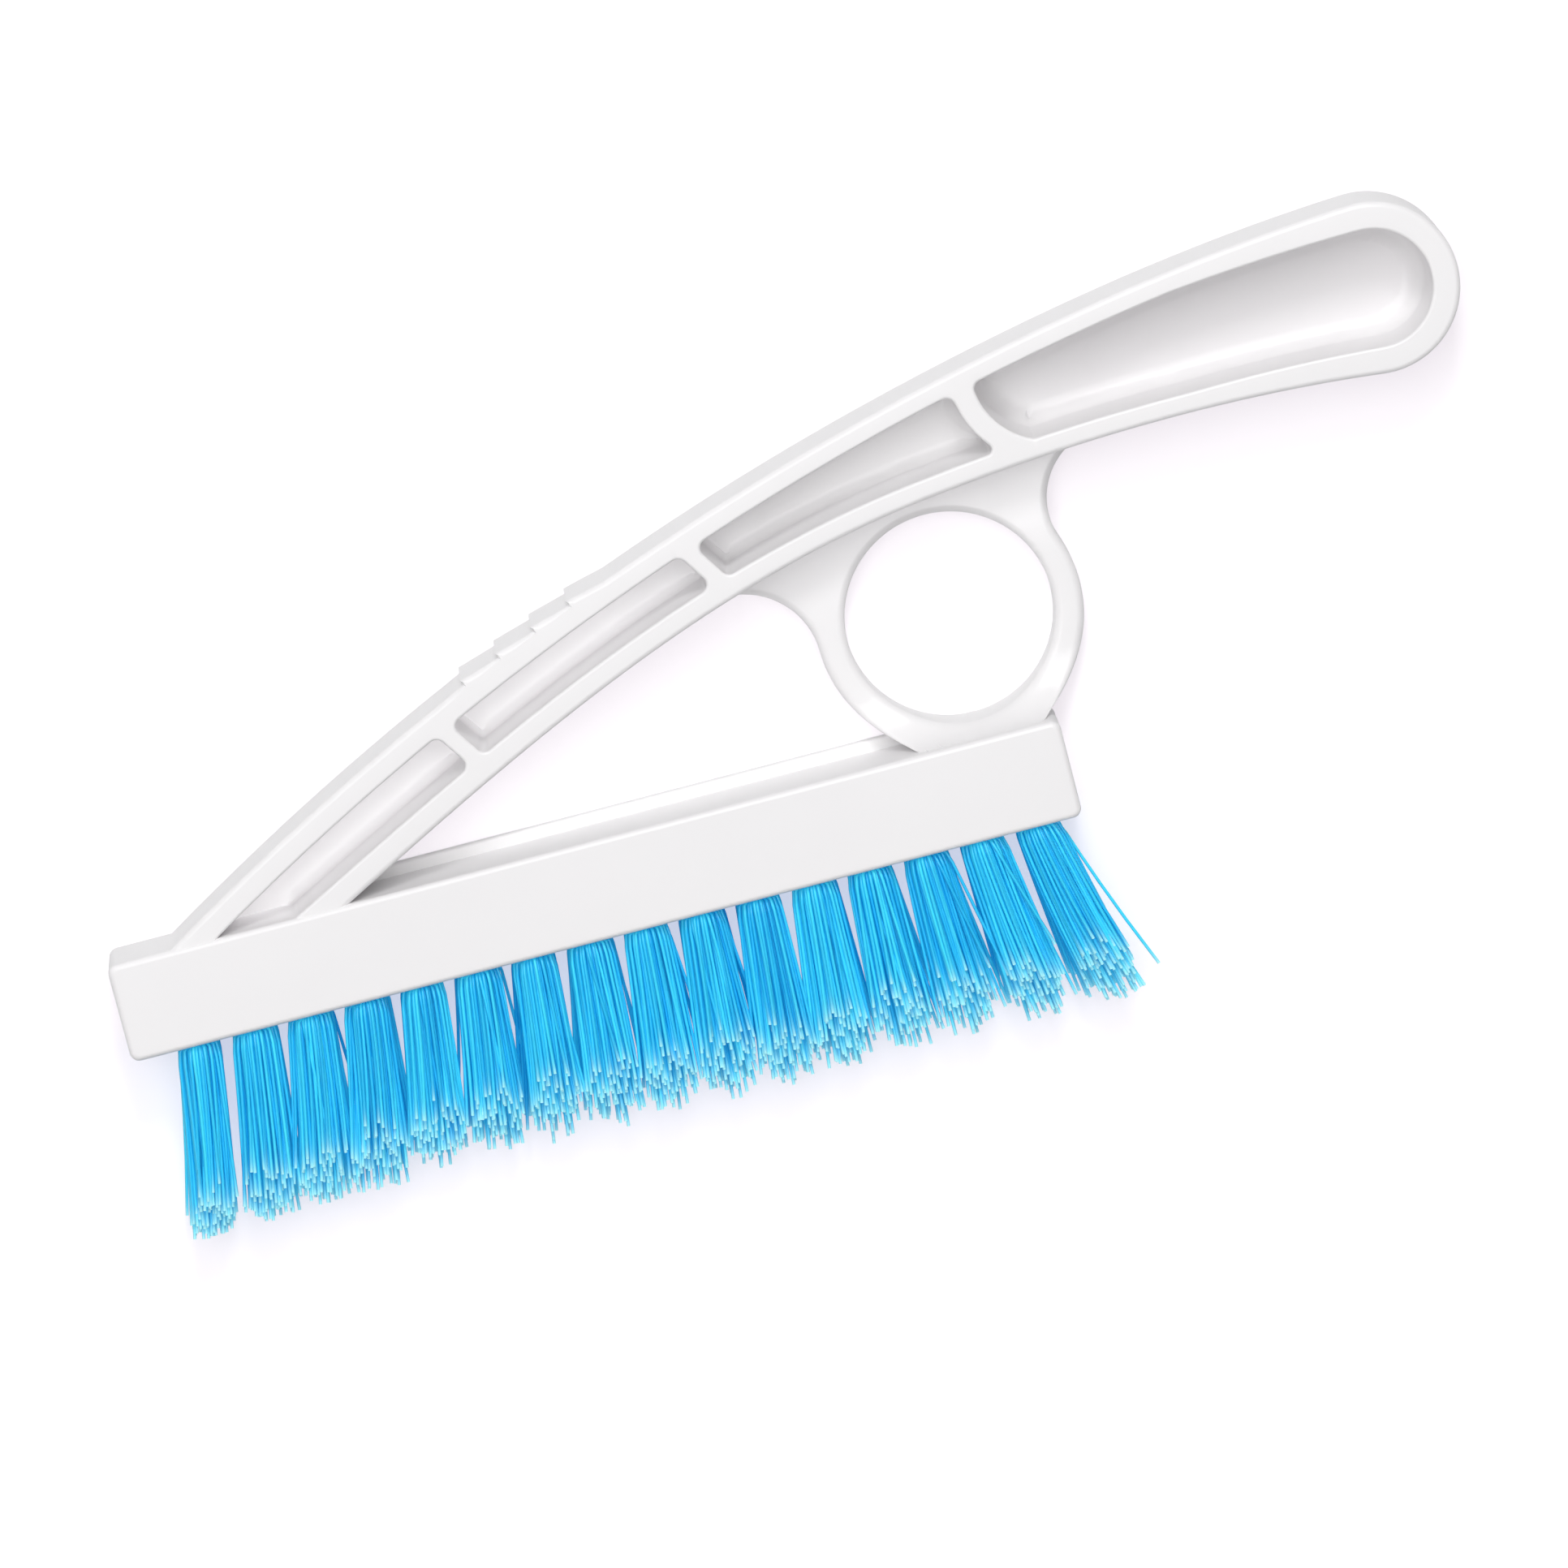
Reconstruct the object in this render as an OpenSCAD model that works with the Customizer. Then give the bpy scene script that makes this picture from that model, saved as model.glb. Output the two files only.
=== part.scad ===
// Grout brush: a one-piece moulded handle with a finger ring, and two rows of stapled bristle tufts.
// It lies on its back. X runs along the block, Y from the bristles to the handle, Z up from the floor.
// The origin is the middle of the block's flat back face. All sizes are in millimetres.

/* [Block] */
// Length of the block that holds the bristles
block_l = 152.8; // [120:0.2:190]
// Height of the block, from the bristle face to the handle side
block_h = 15.7; // [13.5:0.1:24]
// Thickness of the block and of the handle
body_t = 16; // [12.5:0.5:22]
// Radius of the block's four corners
corner_r = 1.5; // [0.5:0.1:4]

/* [Handle] */
// From the toe of the block to the start of the handle
foot_inset = 9.2; // [6:0.1:14]
// Length along the block that the handle's foot covers
foot_l = 27.5; // [20:0.5:34]
// Height of the handle's top edge over the ring, from the block
top_rise = 54.7; // [50:0.1:66]
// Height of the handle's lower edge over the ring, from the block
low_rise = 38.5; // [36:0.1:45]
// How far the centre of the round end lies beyond the heel
grip_over = 63.6; // [50:0.2:80]
// Height of the round end's centre, from the block
grip_rise = 53; // [48:0.5:60]
// Radius of the round end
grip_r = 13.5; // [11:0.5:16]
// Thickness of the plate at the back of the channel
plate_t = 2.5; // [1.5:0.1:4]
// Width of the rim round the channel where it leaves the block
rim_toe = 4; // [2.5:0.1:5]
// Width of the rim along the grip
rim_grip = 3.2; // [2.2:0.1:4.5]
// Width of the rim at the round end
rim_end = 4.3; // [2.5:0.1:5.5]

/* [Ribs and thumb steps] */
// Where the two straight ribs cross the channel, along the block
rib_x = [-14.4, 29];
// Slope of the straight ribs
rib_slope = -56; // [-80:1:-40]
// Thickness of the ribs
rib_t = 2.8; // [1.5:0.1:4]
// Inner radius of the curved rib
bow_r = 11.7; // [10:0.1:14]
// Thickness of the curved rib
bow_t = 3.6; // [2:0.1:4.5]
// From the curved rib's centre to the centre of the round end, along the block
bow_gap = 52; // [40:0.5:60]
// Height of the curved rib's centre above the centre of the round end
bow_rise = 1.5; // [0:0.1:3]
// Number of thumb steps on the top edge
step_count = 4; // [0:1:6]
// Place of the first thumb step along the block
step_x = -11.6; // [-30:0.1:0]
// Distance between thumb steps along the block
step_pitch = 6.3; // [4:0.1:9]
// Height of a thumb step
step_h = 1; // [0.4:0.1:1.6]

/* [Finger ring] */
// Radius of the finger hole
ring_hole_r = 16.4; // [13:0.1:18]
// Width of the ring's wall
ring_wall = 4.6; // [3:0.1:6]
// Thickness of the ring and of the web above it
ring_t = 6.2; // [4:0.1:8]
// From the heel of the block to the centre of the ring
ring_inset = 12.2; // [8:0.1:30]
// How much of the ring stands between the finger hole and the block
ring_seat = 1.95; // [1.2:0.05:3]
// Radius of the fillet between the ring and the handle, on the toe side
toe_fillet_r = 12.3; // [8:0.1:13]
// Radius of that fillet on the grip side
grip_fillet_r = 11.2; // [8:0.1:12]
// Thickness of the stiffening lip on top of the block
lip_t = 2; // [1:0.1:3]

/* [Bristles] */
// Number of tufts in each of the two rows
tuft_count = 16; // [10:1:19]
// From the toe of the block to the middle of the first tuft
toe_margin = 10.5; // [6:0.1:14]
// From the middle of the last tuft to the heel of the block
heel_margin = 7.3; // [5:0.1:12]
// Distance between the two rows
row_gap = 7.4; // [6.6:0.1:8]
// Diameter of the blind holes that the tufts are stapled into
hole_d = 5; // [4:0.1:6]
// Depth of those holes
hole_depth = 11; // [8:0.5:12]
// Gap round a tuft's folded root
root_gap = 0.1; // [0.05:0.05:0.3]
// Length of a bristle outside the block, along the middle of the brush
bristle_l = 28.2; // [20:0.1:36]
// How much longer the bristles at the toe are
toe_extra = 4; // [0:0.5:6]
// How much shorter the outer bristles are cut than the middle ones
trim_drop = 7; // [0:0.5:9]
// Angle by which the worn bristles lean to the toe
lean = 7.5; // [0:0.5:10]
// How much more the toe tufts lean out
toe_splay = 5; // [0:0.5:7]
// How much further out the heel tufts lean
heel_splay = 18; // [0:0.5:20]
// Room left between two tufts at their tips, from bristle to bristle
tip_gap = 1.2; // [1:0.1:3]
// Radius of one bristle
strand_r = 0.28; // [0.2:0.01:0.3]

/* [Staple anchors] */
// Thickness of the metal strip that each tuft is folded over
anchor_t = 0.5; // [0.3:0.1:0.8]
// Height of the strip
anchor_h = 2; // [1:0.1:3]

/* [Hidden] */
rows = ["front", "back"];
function two_digits(i) = str(i < 9 ? "0" : "", i + 1);

overlap = 0.6;
tread_tuck = 0.1;
outline_steps = 14;
rim_swell_s = 1.6;
block_top = block_h / 2;
mid_z = body_t / 2;
toe_x = -block_l / 2;
heel_x = block_l / 2;
ring_x = heel_x - ring_inset;
ring_r = ring_hole_r + ring_wall;
ring_y = block_top + ring_seat + ring_hole_r;
grip_c = [heel_x + grip_over, block_top + grip_rise];

// An edge of the handle is three stations of place and direction: at the block, over the ring, at the end
top_end_angle = 2.9;
low_end_angle = -6.5;
top_edge = [
    [[toe_x + foot_inset, block_top - overlap], 31.8],
    [[ring_x, block_top + top_rise], 13.9],
    [grip_c + grip_r * [-sin(top_end_angle), cos(top_end_angle)], top_end_angle]
];
low_edge = [
    [[toe_x + foot_inset + foot_l, block_top - 2 * overlap], 27.5],
    [[ring_x, block_top + low_rise], 7.3],
    [grip_c + grip_r * [sin(low_end_angle), -cos(low_end_angle)], low_end_angle]
];

function heading(angle) = [cos(angle), sin(angle)];
function cubic(a, b, c, d, t) =
    pow(1 - t, 3) * a + 3 * pow(1 - t, 2) * t * b + 3 * (1 - t) * t * t * c + pow(t, 3) * d;
function span_pt(from, to, t) =
    let (reach = norm(to[0] - from[0]) / 3)
    cubic(from[0], from[0] + reach * heading(from[1]), to[0] - reach * heading(to[1]), to[0], t);

// A point on an edge: s is 0 at the block, 1 over the ring and 2 at the round end
function edge_pt(edge, s) = s < 1 ? span_pt(edge[0], edge[1], s) : span_pt(edge[1], edge[2], s - 1);
function edge_left(edge, s) =
    let (d = edge_pt(edge, s + 0.001) - edge_pt(edge, s - 0.001))
    [-d[1], d[0]] / norm(d);
function edge_shift(edge, s, left) = edge_pt(edge, s) + left * edge_left(edge, s);
function edge_s(edge, x, lo = 0, hi = 2, tries = 20) =
    let (mid = (lo + hi) / 2)
    tries == 0 ? mid
    : edge_pt(edge, mid)[0] < x ? edge_s(edge, x, mid, hi, tries - 1)
    : edge_s(edge, x, lo, mid, tries - 1);
function rim_at(s) =
    s < 1 ? rim_toe + (rim_grip - rim_toe) * s
    : s < rim_swell_s ? rim_grip
    : rim_grip + (rim_end - rim_grip) * (s - rim_swell_s) / (2 - rim_swell_s);

stations = [for (k = [0:2 * outline_steps]) k / outline_steps];
last = len(stations) - 1;
end_turn = 180 + top_end_angle - low_end_angle;
function end_arc(r) = [for (k = [1:23]) grip_c + r * heading(90 + top_end_angle - k / 24 * end_turn)];

// Where a fillet circle of radius r touches both the lower edge and the ring, found by halving
function ring_gap(s, r) = norm(edge_shift(low_edge, s, -r) - [ring_x, ring_y]) - ring_r - r;
function fillet_s(r, open, shut = 1, tries = 24) =
    let (mid = (open + shut) / 2)
    tries == 0 ? mid
    : ring_gap(mid, r) > 0 ? fillet_s(r, mid, shut, tries - 1)
    : fillet_s(r, open, mid, tries - 1);
toe_fillet_s = fillet_s(toe_fillet_r, 0);
grip_fillet_s = fillet_s(grip_fillet_r, 2);
toe_fillet_c = edge_shift(low_edge, toe_fillet_s, -toe_fillet_r);
grip_fillet_c = edge_shift(low_edge, grip_fillet_s, -grip_fillet_r);

// The block's outline, with its corners rounded
module block_shape() {
    r = corner_r;
    centres = [
        [toe_x + r, block_top - r],
        [heel_x - r, block_top - r],
        [heel_x - r, r - block_top],
        [toe_x + r, r - block_top]
    ];
    corner_start = [180, 90, 0, -90];
    polygon([
        for (c = [0:3])
            for (k = [0:6])
                centres[c] + r * heading(corner_start[c] - 15 * k)
    ]);
}

// The handle's outer outline, with the thumb steps on its top edge
module handle_shape() {
    polygon(concat(
        [for (s = stations) edge_pt(top_edge, s)],
        end_arc(grip_r),
        [for (k = [0:last]) edge_pt(low_edge, stations[last - k])]
    ));
    for (k = [0:1:step_count - 1]) {
        riser = edge_s(top_edge, step_x + k * step_pitch);
        run_out = edge_s(top_edge, step_x + (k + 1) * step_pitch);
        polygon([
            edge_shift(top_edge, riser, step_h),
            edge_shift(top_edge, run_out, -tread_tuck),
            edge_shift(top_edge, run_out, -overlap),
            edge_shift(top_edge, riser, -overlap)
        ]);
    }
}

// The channel inside the rim, before the ribs
module channel_shape() {
    difference() {
        polygon(concat(
            [for (s = stations) edge_shift(top_edge, s, -rim_at(s))],
            end_arc(grip_r - rim_end),
            [for (k = [0:last]) edge_shift(low_edge, stations[last - k], rim_at(stations[last - k]))]
        ));
        block_shape();
    }
}

// The two straight ribs and the curved one at the grip
module rib_shape() {
    for (x = rib_x) {
        top = edge_pt(top_edge, edge_s(top_edge, x));
        low = edge_pt(low_edge, edge_s(low_edge, x));
        translate((top + low) / 2)
            rotate(rib_slope)
                square([top[1] - low[1], rib_t], center = true);
    }
    translate(grip_c + [-bow_gap, bow_rise])
        difference() {
            circle(r = bow_r + bow_t, $fn = 64);
            circle(r = bow_r, $fn = 64);
            translate([0.4 * bow_r, -2 * bow_r])
                square(4 * bow_r);
        }
}

// The web that joins the ring to the handle, between the two fillet circles
module web_shape() {
    difference() {
        polygon(concat(
            [[ring_x, ring_y], toe_fillet_c],
            [
                for (k = [0:16])
                    edge_shift(low_edge, toe_fillet_s + (grip_fillet_s - toe_fillet_s) * k / 16, overlap)
            ],
            [grip_fillet_c]
        ));
        translate(toe_fillet_c)
            circle(r = toe_fillet_r, $fn = 96);
        translate(grip_fillet_c)
            circle(r = grip_fillet_r, $fn = 96);
    }
}

// The hollow curve that stiffens the ring against the front half of the block
module gusset() {
    sweep = body_t - ring_t;
    intersection() {
        translate([ring_x + ring_r, block_top, ring_t])
            rotate([90, 0, -90])
                linear_extrude(2 * ring_r)
                    difference() {
                        translate([-sweep, -overlap])
                            square([sweep + overlap, sweep + overlap]);
                        translate([-sweep, sweep])
                            circle(r = sweep - 0.05, $fn = 96);
                    }
        translate([ring_x, ring_y, 0])
            cylinder(r = ring_r, h = body_t, $fn = 96);
    }
}

module hole_at(row, i) {
    translate([tuft_x(i), hole_depth - block_top, row_z(row)])
        rotate([90, 0, 0])
            cylinder(d = hole_d, h = hole_depth + overlap, $fn = 32);
}

module handle_body() {
    color("white")
        difference() {
            union() {
                linear_extrude(body_t)
                    block_shape();
                linear_extrude(plate_t)
                    handle_shape();
                linear_extrude(body_t)
                    difference() {
                        handle_shape();
                        channel_shape();
                    }
                linear_extrude(body_t)
                    intersection() {
                        handle_shape();
                        rib_shape();
                    }
                linear_extrude(ring_t)
                    web_shape();
                translate([ring_x, ring_y, 0])
                    cylinder(r = ring_r, h = ring_t, $fn = 96);
                gusset();
                translate([toe_x + foot_inset + foot_l, block_top - overlap, 0])
                    cube([ring_x - toe_x - foot_inset - foot_l, ring_seat + overlap, lip_t]);
            }
            translate([ring_x, ring_y, -overlap])
                cylinder(r = ring_hole_r, h = body_t + 2 * overlap, $fn = 96);
            for (row = rows)
                for (i = [0:tuft_count - 1])
                    hole_at(row, i);
        }
}

// The tufts stand in pairs, spread evenly between the two margins
tuft_pitch = (block_l - toe_margin - heel_margin) / (tuft_count - 1);
function tuft_x(i) = toe_x + toe_margin + i * tuft_pitch;
function row_side(row) = row == "front" ? 1 : -1;
function row_z(row) = mid_z + row_side(row) * row_gap / 2;

// Bristle length and lean, from u = 0 at the toe tuft to u = 1 at the heel tuft. The worn length waves a
// little along the row, and what is special to the toe fades out within a few tufts
wave_h = 0.4;
wave_turn = 900;
extra_fade = 8;
splay_fade = 12;
function tuft_l(u) = bristle_l + toe_extra * exp(-extra_fade * u) + wave_h * sin(wave_turn * u);
function tuft_lean(u) = -lean - toe_splay * exp(-splay_fade * u) + heel_splay * pow(u, 4);

// Thirteen bristles: one in the middle, five round it and seven outside, each as [turn, share of the radius]
strand_seats = concat(
    [[0, 0]],
    [for (k = [0:4]) [72 * k + 18, 0.5]],
    [for (k = [0:6]) [360 / 7 * k, 1]]
);
root_d = hole_d - 2 * root_gap;
root_l = hole_depth - 2 * root_gap - overlap;
seat_r = root_d / 2 - 2 * strand_r;
tip_spread = (tuft_pitch - tip_gap) / 2;
row_spread = row_gap / 2 - 3 * strand_r;
strand_tuck = 1.5;
knee = 0.45;
root_bend = 0.8;

// The centre of a bristle at a depth below the block's bristle face
function strand_pt(row, u, seat, depth, length) =
    let (
        open = max(depth, 0) / length,
        across = seat[1] * (seat_r + (tip_spread - seat_r) * open),
        thick = seat[1] * (seat_r + (row_spread - seat_r) * open),
        bend = tan(tuft_lean(u)) * depth * (root_bend + (1 - root_bend) * open)
    )
    [cos(seat[0]) * across + bend, -block_top - depth, row_z(row) + sin(seat[0]) * thick];

function strand_length(row, u, seat) =
    let (off_middle = row_side(row) * row_gap / 2 + sin(seat[0]) * seat[1] * row_spread)
    tuft_l(u) - trim_drop * abs(off_middle) / (row_gap / 2 + row_spread);

function strand_rings(row, u, seat) =
    let (length = strand_length(row, u, seat))
    [
        for (depth = [-strand_tuck, knee * length, length])
            for (side = [0:2])
                strand_pt(row, u, seat, depth, length)
                + strand_r * [cos(120 * side), 0, sin(120 * side)]
    ];

strand_faces = concat(
    [[0, 1, 2], [6, 8, 7]],
    [
        for (ring = [0, 3])
            for (side = [0:2])
                for (half = [0, 1])
                    let (next = (side + 1) % 3)
                    half == 0 ? [ring + side, ring + 3 + next, ring + next]
                    : [ring + side, ring + 3 + side, ring + 3 + next]
    ]
);

module strand(row, u, seat) {
    polyhedron(points = strand_rings(row, u, seat), faces = strand_faces);
}

// A strip fits the hole's width and leaves the folded root a slot to sit in
module anchor_strip(extra) {
    width = hole_d - root_gap;
    translate([-width / 2, root_l - anchor_h - extra - block_top, -anchor_t / 2 - extra])
        cube([width + extra, anchor_h + 2 * extra, anchor_t + 2 * extra]);
}

module tuft(row, i) {
    u = i / (tuft_count - 1);
    color("deepskyblue") {
        translate([tuft_x(i), 0, row_z(row)])
            difference() {
                translate([0, root_l - block_top, 0])
                    rotate([90, 0, 0])
                        cylinder(d = root_d, h = root_l, $fn = 10);
                translate([-overlap, 0, 0])
                    anchor_strip(root_gap);
                translate([overlap, 0, 0])
                    anchor_strip(root_gap);
            }
        translate([tuft_x(i), 0, 0])
            for (seat = strand_seats)
                strand(row, u, seat);
    }
}

module anchors(row) {
    color("silver")
        for (i = [0:tuft_count - 1])
            translate([tuft_x(i), 0, row_z(row)])
                anchor_strip(0);
}

handle_body();
for (row = rows) {
    for (i = [0:tuft_count - 1])
        tuft(row, i);
    anchors(row);
}
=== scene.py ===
import math

import bmesh
import bpy
from mathutils import Matrix, Vector


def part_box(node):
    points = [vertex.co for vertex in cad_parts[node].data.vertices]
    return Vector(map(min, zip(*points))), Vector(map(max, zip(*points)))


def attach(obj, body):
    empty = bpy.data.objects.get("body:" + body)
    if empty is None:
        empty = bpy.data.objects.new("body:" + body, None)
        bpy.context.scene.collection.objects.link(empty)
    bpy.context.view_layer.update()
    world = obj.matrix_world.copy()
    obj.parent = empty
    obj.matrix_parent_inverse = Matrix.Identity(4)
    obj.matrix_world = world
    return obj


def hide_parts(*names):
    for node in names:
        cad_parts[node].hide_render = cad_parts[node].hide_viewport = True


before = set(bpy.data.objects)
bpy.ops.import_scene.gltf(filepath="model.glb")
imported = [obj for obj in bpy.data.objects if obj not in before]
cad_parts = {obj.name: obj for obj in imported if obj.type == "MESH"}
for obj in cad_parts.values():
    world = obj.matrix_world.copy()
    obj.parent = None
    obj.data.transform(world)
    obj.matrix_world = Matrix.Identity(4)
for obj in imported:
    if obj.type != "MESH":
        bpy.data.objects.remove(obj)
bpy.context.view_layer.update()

# Camera. It looks almost straight down on the brush, which lies on its back, from a little beyond
# the handle, and is rolled so that the block climbs to the right. picture_width is how much the
# picture takes in at the brush, in metres.
picture_width = 0.2433
tilt = math.radians(10.4)
roll = math.radians(14.6)
lens_distance = 1.8
sensor_width = 36
aim = Vector((0.0326, 0.0090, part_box("handle_body")[1].z))
towards = Vector((0, math.sin(tilt), math.cos(tilt)))
level_up = Vector((0, math.cos(tilt), -math.sin(tilt)))
level_right = Vector((1, 0, 0))
right = math.cos(roll) * level_right - math.sin(roll) * level_up
up = math.sin(roll) * level_right + math.cos(roll) * level_up
lens = bpy.data.cameras.new("camera")
lens.sensor_width = sensor_width
lens.lens = lens_distance * sensor_width / picture_width
lens.clip_start = 0.05
lens.clip_end = 20
camera = bpy.data.objects.new("camera", lens)
bpy.context.scene.collection.objects.link(camera)
camera.matrix_world = Matrix.Translation(aim + towards * lens_distance) @ Matrix(
    (right, up, towards)
).transposed().to_4x4()
bpy.context.scene.camera = camera


# Moulded body. One shot of white polypropylene makes the block, the channelled handle with its ribs
# and thumb steps, and the finger ring on its web. Every edge is rounded, so that it leaves the
# mould cleanly and spares the hand. Sizes are in millimetres until a mesh is made.
MM = 0.001
low, high = (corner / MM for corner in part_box("handle_body"))
body_t = high.z
toe_x = low.x
heel_x = -low.x
block_top = 7.85
block_corner_r = 1.5
foot_inset = 9.2
foot_l = 27.5
top_foot_turn, low_foot_turn = 31.8, 27.5
ring_hole_r = 16.4
ring_r = 21.0
ring_t = 6.2
ring_c = Vector((heel_x - 12.2, block_top + 1.95 + ring_hole_r))
grip_r = 13.5
grip_c = Vector((heel_x + 63.6, block_top + 53))
plate_t = 2.5
end_rim = 4.3
front_edge_r = 0.9
back_edge_r = 2.2
free = 9.0


def heading(degrees):
    return Vector((math.cos(math.radians(degrees)), math.sin(math.radians(degrees))))


def span_point(start, end, t):
    """A point on the smooth curve between two stations of place and direction."""
    reach = (end[0] - start[0]).length / 3
    a, d = start[0], end[0]
    b = a + reach * heading(start[1])
    c = d - reach * heading(end[1])
    return (1 - t) ** 3 * a + 3 * (1 - t) ** 2 * t * b + 3 * (1 - t) * t * t * c + t**3 * d


class Edge:
    """A long edge of the handle: s is 0 at the block, 1 over the ring and 2 at the round end."""

    def __init__(self, foot, over_ring, end):
        self.stations = (foot, over_ring, end)

    def point(self, s, left=0.0):
        first = 0 if s < 1 else 1
        start, end = self.stations[first], self.stations[first + 1]
        here, near = span_point(start, end, s - first), 0.001
        if left:
            after = span_point(start, end, s - first + near)
            ahead = after - span_point(start, end, s - first - near)
            here = here + left * Vector((-ahead.y, ahead.x)).normalized()
        return here


def halve(test, low_s, high_s):
    """The s between low_s, where test is false, and high_s, where it is true, at which it turns."""
    for _ in range(30):
        middle = (low_s + high_s) / 2
        low_s, high_s = (low_s, middle) if test(middle) else (middle, high_s)
    return (low_s + high_s) / 2


def crossing(edge, x):
    """The s at which an edge of the handle passes x."""
    return halve(lambda s: edge.point(s).x > x, 0, 2)


top_turn, low_turn = 2.9, -6.5
top_edge = Edge(
    (Vector((toe_x + foot_inset, block_top - 0.6)), top_foot_turn),
    (Vector((ring_c.x, block_top + 54.7)), 13.9),
    (grip_c + grip_r * heading(90 + top_turn), top_turn),
)
low_edge = Edge(
    (Vector((toe_x + foot_inset + foot_l, block_top - 1.2)), low_foot_turn),
    (Vector((ring_c.x, block_top + 38.5)), 7.3),
    (grip_c + grip_r * heading(low_turn - 90), low_turn),
)


def rim(s):
    """The width of the rim round the channel: thick at the toe, thin along the grip."""
    toe_rim, grip_rim, widens_at, widens_over = 4.0, 3.2, 1.6, 0.4
    if s < 1:
        return toe_rim + (grip_rim - toe_rim) * s
    return grip_rim + (end_rim - grip_rim) * max(0, (s - widens_at) / widens_over)


def along(edge, start, stop, left=lambda s: 0, pitch=0.02):
    """Points from one s of an edge to another, each moved to its left by a distance."""
    count = max(2, round(abs(stop - start) / pitch))
    steps = [start + (stop - start) * k / count for k in range(count + 1)]
    return [edge.point(s, left(s)) for s in steps]


def arc(centre, radius, start, stop, count):
    return [centre + radius * heading(start + (stop - start) * k / count) for k in range(count + 1)]


def soften(loop, corners):
    """Rounds corners of a closed loop, given as {index: radius}, and says how far each point of
    the result can move sideways before the loop crosses itself."""
    size, steps, safe = len(loop), 6, 0.85
    arcs, gone, wedges = {}, set(), []
    for i, radius in corners.items():
        before = (loop[i - 1] - loop[i]).normalized()
        after = (loop[(i + 1) % size] - loop[i]).normalized()
        half = before.angle(after) / 2
        reach = radius / math.tan(half)
        for step in (-1, 1):
            j = i
            while (loop[j % size] - loop[i]).length < reach:
                gone.add(j % size)
                j += step
        centre = loop[i] + (before + after).normalized() * radius / math.sin(half)
        first, last = loop[i] + before * reach - centre, loop[i] + after * reach - centre
        turn = first.angle_signed(last)
        wedges.append((loop[i], math.tan(half)))
        arcs[i] = [
            (centre + Matrix.Rotation(-turn * k / steps, 2) @ first, radius * safe)
            for k in range(steps + 1)
        ]
    made = []
    for j, point in enumerate(loop):
        if j in arcs:
            made += arcs[j]
        elif j not in gone:
            room = min(safe * (point - tip).length * slope for tip, slope in wedges)
            made.append((point, room))
    return made


def block_outline():
    corners = [
        Vector((toe_x, -block_top)),
        Vector((heel_x, -block_top)),
        Vector((heel_x, block_top)),
        Vector((toe_x, block_top)),
    ]
    return soften(corners, dict.fromkeys(range(len(corners)), block_corner_r))


def handle_outline():
    """The handle as one loop, counterclockwise from its foot, which starts inside the block."""
    foot, crest_room = 4.0, 0.3
    steps, first_step, step_pitch, step_h, tuck = 4, -11.6, 6.3, 0.85, 0.05
    loop = [low_edge.point(0) - foot * heading(low_foot_turn)] + along(low_edge, 0, 2)
    loop += arc(grip_c, grip_r, low_turn - 90, 90 + top_turn, 48)[1:]
    risers = [crossing(top_edge, first_step + k * step_pitch) for k in range(steps + 1)]
    loop += along(top_edge, 2, risers[-1])[1:]
    crests = []
    for k in reversed(range(steps)):
        crest = top_edge.point(risers[k], step_h)
        loop += [top_edge.point(risers[k + 1], tuck).lerp(crest, t) for t in (0.5, 0.85)]
        crests += range(len(loop), len(loop) + 2)
        loop += [crest, top_edge.point(risers[k], tuck)]
    loop += along(top_edge, risers[0], 0)[1:]
    loop.append(top_edge.point(0) - foot * heading(top_foot_turn))
    return [(p, crest_room if k in crests else free) for k, p in enumerate(loop)]


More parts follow.
